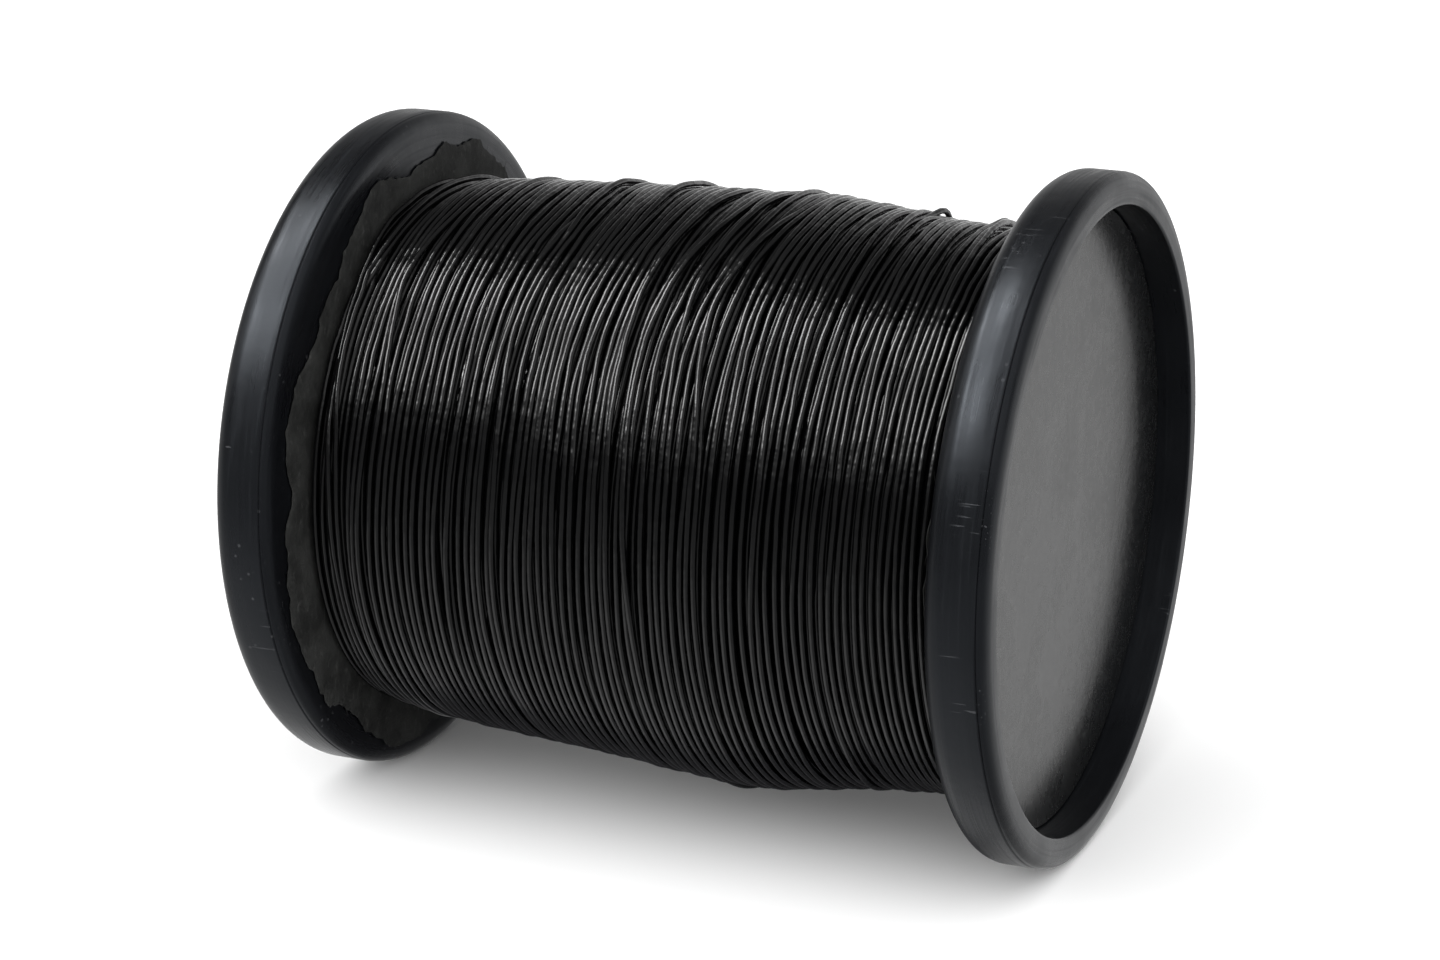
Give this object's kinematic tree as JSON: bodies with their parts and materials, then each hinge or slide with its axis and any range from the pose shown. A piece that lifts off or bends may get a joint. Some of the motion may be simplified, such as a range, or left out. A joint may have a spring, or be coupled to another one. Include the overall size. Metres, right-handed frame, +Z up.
{
  "type": "wire spool",
  "caption": "Full spool of thin black insulated wire: two dished, thick-rimmed moulded flanges on a barrel, wound edge to edge, lying on its rims.",
  "frame": {"origin": "on the floor, under the middle of the spool, which lies on its two rims", "axes": "+X along the spool's axis towards the closed end, +Z up, -Y towards the pictured side"},
  "size_m": [0.1868, 0.16, 0.16],
  "materials": {
    "flange": "worn satin-gloss black moulding",
    "end_disc": "satin charcoal, faintly brushed",
    "tube": "plain dark moulding",
    "liner": "matte black crepe paper, torn edge",
    "wire": "satin black insulation"
  },
  "bodies": {
    "root": {"left_flange": "flange", "right_flange": "flange", "barrel": "tube", "arbor_tube": "tube", "left_end_disc": "end_disc", "right_end_disc": "end_disc", "left_flange_liner": "liner", "right_flange_liner": "liner", "wire_winding": "wire"}
  },
  "joints": []
}
